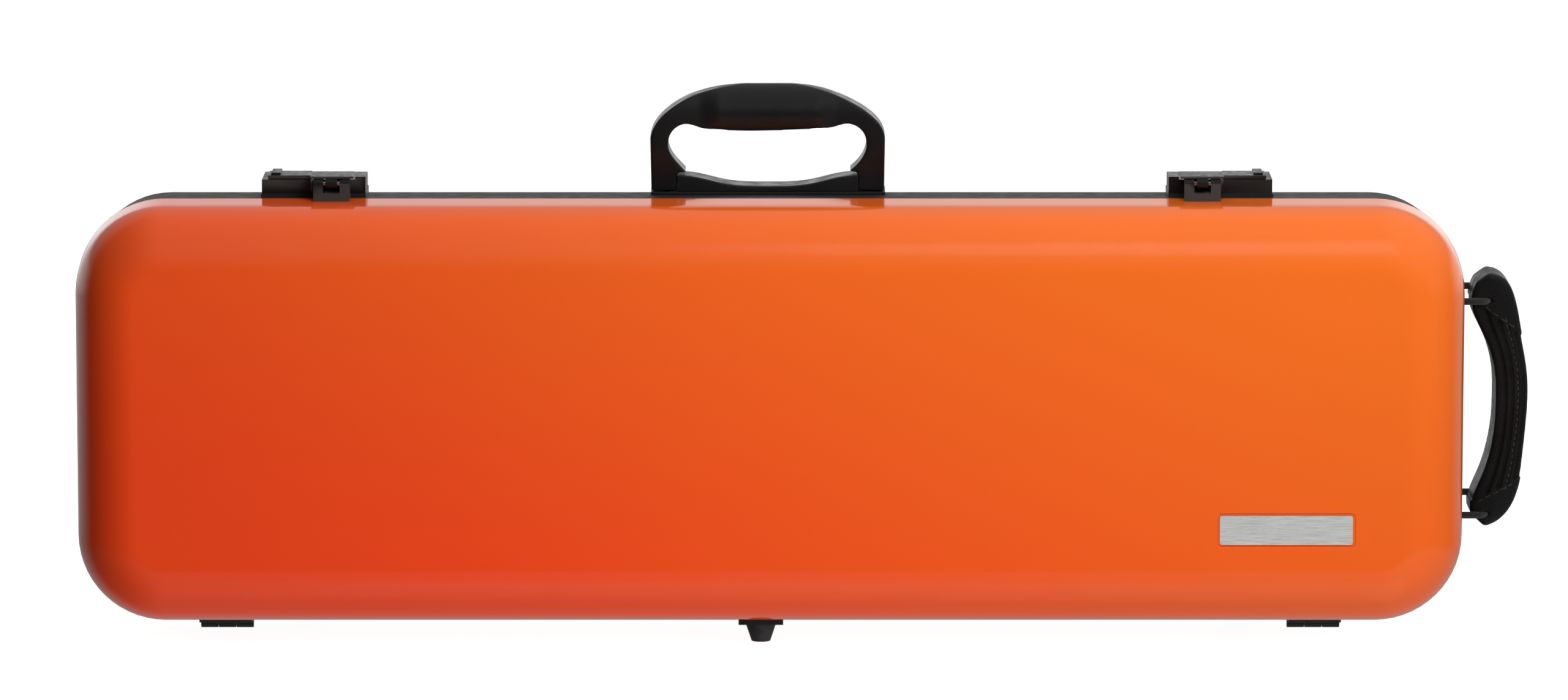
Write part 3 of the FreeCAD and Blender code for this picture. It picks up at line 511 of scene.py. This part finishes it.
def edit(piece, change):
    """Moves each vertex of a piece to change(place, normal)."""
    bm = bmesh.new()
    bm.from_mesh(piece.data)
    bm.normal_update()
    moved = [change(vert.co, vert.normal) for vert in bm.verts]
    for vert, place in zip(bm.verts, moved):
        vert.co = place
    bm.to_mesh(piece.data)
    bm.free()
    piece.data.update()


def step(value, low, high):
    """Smooth step from 0 at low to 1 at high."""
    share = min(1.0, max(0.0, (value - low) / (high - low)))
    return share * share * (3 - 2 * share)


def bump_at(value, centre, width):
    """Bell of height 1 at centre."""
    return math.exp(-((value - centre) / width) ** 2)


def inflate(piece, cap, pinned, pressure=4.0, frames=20):
    """Blows a padded piece up as cloth; no vertex moves more than cap, and pinned ones stay."""
    rest = [vert.co.copy() for vert in piece.data.vertices]
    cloth = piece.modifiers.new("cloth", "CLOTH")
    cloth.settings.use_pressure = True
    cloth.settings.uniform_pressure_force = pressure
    cloth.settings.effector_weights.gravity = 0
    cloth.settings.quality = 5
    cloth.point_cache.frame_start = 1
    cloth.point_cache.frame_end = frames
    for number in range(1, frames + 1):
        bpy.context.scene.frame_set(number)
    apply_all(piece)
    for vert, start in zip(piece.data.vertices, rest):
        shift = vert.co - start
        if pinned(start) or not all(math.isfinite(part) for part in shift):
            shift = Vector()
        if shift.length > cap:
            shift *= cap / shift.length
        vert.co = start + shift
    bpy.context.scene.frame_set(1)
    smooth = piece.modifiers.new("smooth", "SMOOTH")
    smooth.factor, smooth.iterations = 0.5, 6
    finer = piece.modifiers.new("finer", "SUBSURF")
    finer.levels = finer.render_levels = 1
    apply_all(piece)


def tube(bm, points, radius, sides=8):
    """Rod along points, narrower at its two ends."""
    rings = []
    for index, point in enumerate(points):
        before, after = points[max(index - 1, 0)], points[min(index + 1, len(points) - 1)]
        along = (after - before).normalized()
        across = along.orthogonal().normalized()
        other = along.cross(across)
        size = radius * (0.55 if index in (0, len(points) - 1) else 1.0)
        turns = [2 * math.pi * k / sides for k in range(sides)]
        rings.append([bm.verts.new(point + (across * math.cos(turn)
                                            + other * math.sin(turn)) * size)
                      for turn in turns])
    for one, two in zip(rings, rings[1:]):
        bridge(bm, one, two)
    bm.faces.new(list(reversed(rings[0])))
    bm.faces.new(rings[-1])


def stitches(name, starts_and_ends, slot, body, radius=0.34 * MM):
    """A row of thread stitches, each lying a little proud in its middle."""
    bm = bmesh.new()
    for start, end, normal in starts_and_ends:
        run = end - start
        points = [start - normal * radius * 0.9, start + run * 0.2 + normal * radius * 0.5,
                  start + run * 0.5 + normal * radius * 0.9,
                  start + run * 0.8 + normal * radius * 0.5, end - normal * radius * 0.9]
        tube(bm, points, radius, 6)
    new_piece(name, bm, slot, body, (), 60)


# ------------------------------------------------------------------ shells
def make_lid():
    """Orange shell, whose rim all but meets the base, with the nameplate's recess."""
    bm = bmesh.new()
    rim_gap = 0.1 * MM
    shell(bm, LID_DEPTH - rim_gap, LID_EDGE, LID_DRAFT, -1, PARTING - rim_gap)
    piece = new_piece("lid_skin", bm, "orange_shell", "lid", ("lid_shell",))
    low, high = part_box("nameplate")
    gap, depth, corner, past = 1.3 * MM, 0.5 * MM, 2.2 * MM, 3 * MM
    cut_box(piece, Vector((low.x - gap, LID_LOW.y - past, low.z - gap)),
            Vector((high.x + gap, LID_LOW.y + depth, high.z + gap)), corner, "recess_tool")
    soften_recess(piece, low, high, gap)
    dress(piece, "orange_shell", "lid", ("lid_shell",))
    normals = piece.modifiers.new("normals", "WEIGHTED_NORMAL")
    normals.keep_sharp = True


def soften_recess(piece, low, high, gap):
    """Rounds the recess's outer edge, so that it catches the light as a thin line."""
    bm = bmesh.new()
    bm.from_mesh(piece.data)
    near = 0.6 * MM
    rim = [edge for edge in bm.edges
           if all(abs(vert.co.y - LID_LOW.y) < 0.05 * MM
                  and low.x - gap - near < vert.co.x < high.x + gap + near
                  and low.z - gap - near < vert.co.z < high.z + gap + near
                  for vert in edge.verts)
           and edge.is_manifold and edge.calc_face_angle(0.0) > math.radians(60)]
    bmesh.ops.bevel(bm, geom=rim, offset=0.7 * MM, segments=4, profile=0.5, affect="EDGES")
    bm.to_mesh(piece.data)
    bm.free()


def make_base():
    bm = bmesh.new()
    shell(bm, BASE_DEPTH, BASE_EDGE, BASE_DRAFT, 1, PARTING)
    new_piece("base_skin", bm, "dark_shell", "base", ("base_shell",))


def make_lining():
    """Velour lining inside the lid: a padded skin with a sewn rim and upright channels."""
    low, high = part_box("lid_lining")
    half_x, half_z = (high.x - low.x) / 2, (high.z - low.z) / 2
    outline = (half_x, half_z, CORNER - (HALF_X - half_x))
    depth, thick, steps = high.y - low.y, LINING, (10, 180, 50)
    edge = LID_EDGE - WALL
    outer = half_profile(depth, edge, LID_DRAFT)
    inner = half_profile(depth - thick, edge - thick, LID_DRAFT)
    flat = inner[-1][0]
    bm = bmesh.new()

    def lay(pairs, extra=0.0):
        return [ring_of(bm, inset + extra, high.y - y, MIDDLE, outline, steps)
                for inset, y in pairs]

    outside, inside = lay(outer), lay(inner, thick)
    count = 26
    reach = half_z - flat - thick - 1.5 * MM
    inside += lay([(flat + reach * (k / count), inner[-1][1]) for k in range(1, count + 1)], thick)
    (lip,) = lay([(thick * 0.5, -0.6 * MM)])
    for rings in (outside, list(reversed(inside))):
        for one, two in zip(rings, rings[1:]):
            bridge(bm, one, two)
    bridge(bm, lip, outside[0])
    bridge(bm, inside[0], lip)
    bm.faces.new(outside[-1])
    bm.faces.new(inside[-1])
    bmesh.ops.recalc_face_normals(bm, faces=bm.faces)
    bottom = high.y - inner[-1][1]
    pitch = 2 * half_x / 5

    def puff(co, normal):
        if co.y > bottom + 1e-5 or normal.y < 0.5:
            return co
        from_edge = min(half_x - abs(co.x - MIDDLE.x), half_z - abs(co.z - MIDDLE.z))
        from_edge -= flat + thick
        rim = step(from_edge, 0.0, 6 * MM) * (1 - 0.9 * bump_at(from_edge, 12 * MM, 1.6 * MM))
        channel = abs(math.sin(math.pi * (co.x - MIDDLE.x + half_x) / pitch)) ** 0.35
        rise = 1.8 * MM * rim * channel
        return Vector((co.x, co.y + rise, co.z))

    piece = new_piece("lid_lining_velour", bm, "lining_velour", "lid", ("lid_lining",), 60)
    edit(piece, puff)


def make_handle():
    """Handle moulding with its thicker grip in the middle."""
    piece = softened("handle", "handle_moulding", 0.8 * MM, 5, "grip_plastic")
    low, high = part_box("handle")
    middle = (low + high) / 2
    full_to, gone_by = 27 * MM, 40 * MM          # the grip's reach to each side
    under_from, under_to = 24 * MM, 34 * MM      # heights where its underside sets in
    centre, half_height = 48 * MM, 17 * MM       # of the swell
    legs_top = 25 * MM
    swell, raise_crown, raise_underside = 0.34, 0.8 * MM, 2.1 * MM

    def change(co, _):
        top = step(co.z, low.z + legs_top, high.z)
        grip = 1 - step(abs(co.x - middle.x), full_to, gone_by)
        grip *= step(co.z, low.z + under_from, low.z + under_to)
        height = (co.z - low.z - centre) / half_height
        crown = grip * max(0.0, 1 - height * height)
        y = middle.y + (co.y - middle.y) * (1 + swell * crown)
        z = co.z + raise_crown * top + raise_underside * grip * (1 - top)
        return Vector((co.x, y, z))

    edit(piece, change)


def make_saddle():
    """Saddle moulding, its ends brought up to the handle's legs."""
    piece = softened("handle_saddle", "saddle_moulding", 0.7 * MM, 4, "grip_plastic")
    low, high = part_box("handle_saddle")
    middle, stretch = (low.x + high.x) / 2, 1.046
    edit(piece, lambda co, _: Vector((middle + (co.x - middle) * stretch, co.y, co.z)))


SEAM_AT = 0.71                       # stitched seam, as a share of the strap's thickness


def make_strap():
    """Padded leather strap: rolled ridges along its sides, folded ends and sewn seams."""
    piece = softened("end_strap", "strap_padding", 0.75 * MM, 5, "strap_leather")
    low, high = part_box("end_strap")
    slice_height = 1.5 * MM
    slices = {}
    for vert in piece.data.vertices:
        key = int(vert.co.z / slice_height)
        left, right = slices.get(key, (vert.co.x, vert.co.x))
        slices[key] = (min(left, vert.co.x), max(right, vert.co.x))

    def limits(z):
        key = int(z / slice_height)
        keys = [k for k in range(key - 2, key + 3) if k in slices]
        return tuple(sum(slices[k][i] for k in keys) / len(keys) for i in (0, 1))

    def fold(z, share):
        """1 where the leather is folded over the strap's ends."""
        upper = high.z - (15 + 20 * share) * MM
        lower = low.z + (14 + 14 * share) * MM
        return step(z, upper, upper + 1.2 * MM) + 1 - step(z, lower - 1.2 * MM, lower)

    def change(co, normal):
        left, right = limits(co.z)
        share = min(1.0, max(0.0, (co.x - left) / (right - left)))
        flank = normal.y * abs(normal.y)
        folded = fold(co.z, share)
        ridges = (bump_at(share, 0.27, 0.05) + bump_at(share, 0.52, 0.05)
                  + 0.7 * bump_at(share, SEAM_AT, 0.035) + 0.8 * bump_at(share, 0.88, 0.03))
        out = (1.3 * math.sin(math.pi * share) - 1.6 * ridges * (1 - folded)) * MM
        swell = (0.7 + 0.8 * folded) * MM
        return co + normal * swell + Vector((0, flank * out, 0))

    edit(piece, change)
    bm = bmesh.new()
    bm.from_mesh(piece.data)
    tree = BVHTree.FromBMesh(bm)
    bm.free()
    sewn = []

    def on_side(x, z, side):
        start = Vector((x, (low.y + high.y) / 2 + side * 60 * MM, z))
        return tree.ray_cast(start, Vector((0, -side, 0)))[:2]

    def sew(ends):
        for side in (-1, 1):
            hits = [on_side(x, z, side) for x, z in ends]
            if all(place is not None for place, _ in hits):
                sewn.append((hits[0][0], hits[1][0], hits[0][1]))

    def seam_x(z, share):
        left, right = limits(z)
        return left + (right - left) * share

    pitch, length = 3.6 * MM, 2.5 * MM
    z = low.z + 20 * MM
    while z < high.z - 24 * MM:
        sew([(seam_x(z, SEAM_AT), z), (seam_x(z + length, SEAM_AT), z + length)])
        z += pitch
    for base, rise in ((low.z + 11.5 * MM, 14 * MM), (high.z - 12 * MM, -20 * MM)):
        for k in range(5):
            shares = (0.12 + 0.16 * k, 0.12 + 0.16 * k + 0.11)
            places = [(base + rise * share, share) for share in shares]
            sew([(seam_x(at, share), at) for at, share in places])
    stitches("strap_stitching", sewn, "cord", body_of(NODES["end_strap"])[0])


def ribbon(name, node, slot, bow, thick, end_stitches):
    """Woven ribbon lying along Z in a node's box, bowed out towards the lid."""
    low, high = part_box(node)
    body = body_of(NODES[node])[0]
    half, sides, rows = (high.x - low.x) / 2, 10, 36
    bm = bmesh.new()
    rings = []

    def surface(share):
        return (low.y + high.y) / 2 - bow * (1 - (2 * share - 1) ** 2)

    for row in range(rows + 1):
        share = row / rows
        y, z = surface(share), low.z + (high.z - low.z) * share
        section = []
        for k in range(sides + 1):
            x = half * (2 * k / sides - 1)
            edge = 1 + 0.35 * bump_at(abs(x) / half, 0.93, 0.06)
            section.append((x, -thick / 2 * edge))
        section += [(x, -dy) for x, dy in reversed(section)]
        rings.append([bm.verts.new(((low.x + high.x) / 2 + x, y + dy, z)) for x, dy in section])
    for one, two in zip(rings, rings[1:]):
        bridge(bm, one, two)
    bm.faces.new(list(reversed(rings[0])))
    bm.faces.new(rings[-1])
    bmesh.ops.recalc_face_normals(bm, faces=bm.faces)
    new_piece(name, bm, slot, body, (node,), 50)
    sewn = []
    for share in end_stitches:
        z = low.z + (high.z - low.z) * share
        front = surface(share) - thick / 2 - 0.1 * MM
        for k in range(5):
            x = (low.x + high.x) / 2 + half * (-0.72 + 0.3 * k)
            sewn.append((Vector((x, front, z)), Vector((x + half * 0.2, front, z)),
                         Vector((0, -1, 0))))
    stitches(name + "_stitching", sewn, "cord", body, 0.22 * MM)


def make_pads():
    """Suspension pads and neck cushion, blown up as cloth on their glued backs."""
    pads = softened("suspension_pads", "suspension_cushions", 2.2 * MM, 4, "foam_velour")
    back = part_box("suspension_pads")[1].y - 1.6 * MM
    inflate(pads, 3.0 * MM, lambda co: co.y > back)
    cushion = softened("neck_cradle", "neck_cushion", 2.2 * MM, 4, "foam_velour")
    low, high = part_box("neck_cradle")
    inflate(cushion, 2.4 * MM, lambda co: (co.y > high.y - 3 * MM or co.z < low.z + 3 * MM
                                           or co.z > high.z - 3 * MM))


def dress_cad():
    """Gives every CAD node that still shows its material and fine edges."""
    soft_edges = {"lock_metal": 0.35, "grip_plastic": 0.6, "plate_metal": 0.15, "foot_rubber": 0.6}
    for name, node in NODES.items():
        slot = SLOT_OF[name]
        node.data.materials.clear()
        node.data.materials.append(MATS[slot])
        if node.hide_render:
            continue
        weld = node.modifiers.new("weld", "WELD")
        weld.merge_threshold = 1e-6
        if slot in soft_edges:
            bevel = node.modifiers.new("bevel", "BEVEL")
            bevel.width = soft_edges[slot] * MM
            bevel.segments = 3
            bevel.limit_method = "ANGLE"
            bevel.angle_limit = math.radians(35)
        for polygon in node.data.polygons:
            polygon.use_smooth = True
        normals = node.modifiers.new("normals", "WEIGHTED_NORMAL")
        normals.keep_sharp = True


# ------------------------------------------------------------------ stage
FLOOR_REACH = 60.0


def make_floor():
    """Pale floor, seen by the camera only, so that it doesn't light the object."""
    bm = bmesh.new()
    for x, y in ((-1, -1), (1, -1), (1, 1), (-1, 1)):
        bm.verts.new((x * FLOOR_REACH, y * FLOOR_REACH, 0))
    bm.faces.new(bm.verts)
    mesh = bpy.data.meshes.new("floor")
    bm.to_mesh(mesh)
    bm.free()
    mesh.materials.append(floor_material())
    floor = bpy.data.objects.new("floor", mesh)
    bpy.context.scene.collection.objects.link(floor)
    floor.visible_diffuse = False
    floor.visible_glossy = False
    floor.visible_shadow = False


def make_world():
    """A soft white room: brightest low behind, dim on the left and just under the horizon."""
    world = bpy.data.worlds.new("world")
    bpy.context.scene.world = world
    world.use_nodes = True
    n = Nodes(world.node_tree)
    # Each part of a direction runs from -1 to 1: x to the right, y to the back, z up.
    x, y, z = n.parts(n.add("ShaderNodeTexCoord").outputs["Generated"])
    above = n.ramp(z, 0.10, 0.50, -0.05, 0.7)
    below = n.ramp(z, 0.36, 0.08, -0.32, -0.21)
    side = n.ramp(x, 0.18, 1.0, -0.75, 0.35)
    front = n.math("MULTIPLY", n.math("MAXIMUM", above, below), side)
    low_behind = n.math("MULTIPLY", n.ramp(z, 0.30, 1.0, -0.20, 0.0),
                        n.ramp(z, 1.0, 0.36, 0.14, 0.30))
    behind = n.math("MULTIPLY", n.ramp(y, 0.0, 1.05, 0.05, 0.6), low_behind)
    level = n.math("MAXIMUM", front, behind)
    background = world.node_tree.nodes["Background"]
    n.link(level, background.inputs["Strength"])
    background.inputs["Color"].default_value = (1, 1, 1, 1)


# name, place, target, size in metres, power in watts
LIGHTS = (
    ("key", (0.34, -0.80, 0.95), (0.0, 0, 0.13), 0.7, 11.2),
    ("overhead", (0.0, 1.1, 2.4), (0, 0, 0.15), 1.6, 9.0),
    ("under", (0.20, -0.60, -0.80), (0.05, 0, 0.02), 1.2, 8.0),
    ("right", (1.5, -0.55, 0.30), (0.38, 0, 0.13), 0.8, 4.0),
)


def make_lights():
    for light in LIGHTS:
        area_light(*light)
    bpy.context.scene.view_settings.view_transform = "Standard"


def area_light(name, place, target, size, power):
    """Soft rectangular light, seen neither by the camera nor in the gloss."""
    data = bpy.data.lights.new(name, "AREA")
    data.shape = "RECTANGLE"
    data.size = size
    data.size_y = size * 0.6
    data.energy = power
    light = bpy.data.objects.new(name, data)
    light.location = place
    direction = Vector(target) - Vector(place)
    light.rotation_mode = "QUATERNION"
    light.rotation_quaternion = direction.to_track_quat("-Z", "Y")
    light.visible_camera = False
    light.visible_glossy = False
    bpy.context.scene.collection.objects.link(light)


# ------------------------------------------------------------------ build
make_camera()
make_lid()
make_base()
make_handle()
make_saddle()
make_strap()
make_lining()
ribbon("neck_ribbon", "neck_strap", "tab_fabric", 1.5 * MM, 1.5 * MM, (0.06, 0.14, 0.86, 0.94))
ribbon("pocket_pull", "pocket_tab", "tab_fabric", 0.3 * MM, 0.9 * MM, (0.8, 0.92))
make_pads()
softened("foam_insert", "foam_lining", 2.6 * MM, 8, "foam_velour")
softened("pocket_lid", "pocket_lid_board", 1.0 * MM, 3, "foam_velour")
softened("bow_tip_caps", "tip_cap_padding", 1.2 * MM, 6, "foam_velour")
dress_cad()
make_floor()
make_world()
make_lights()
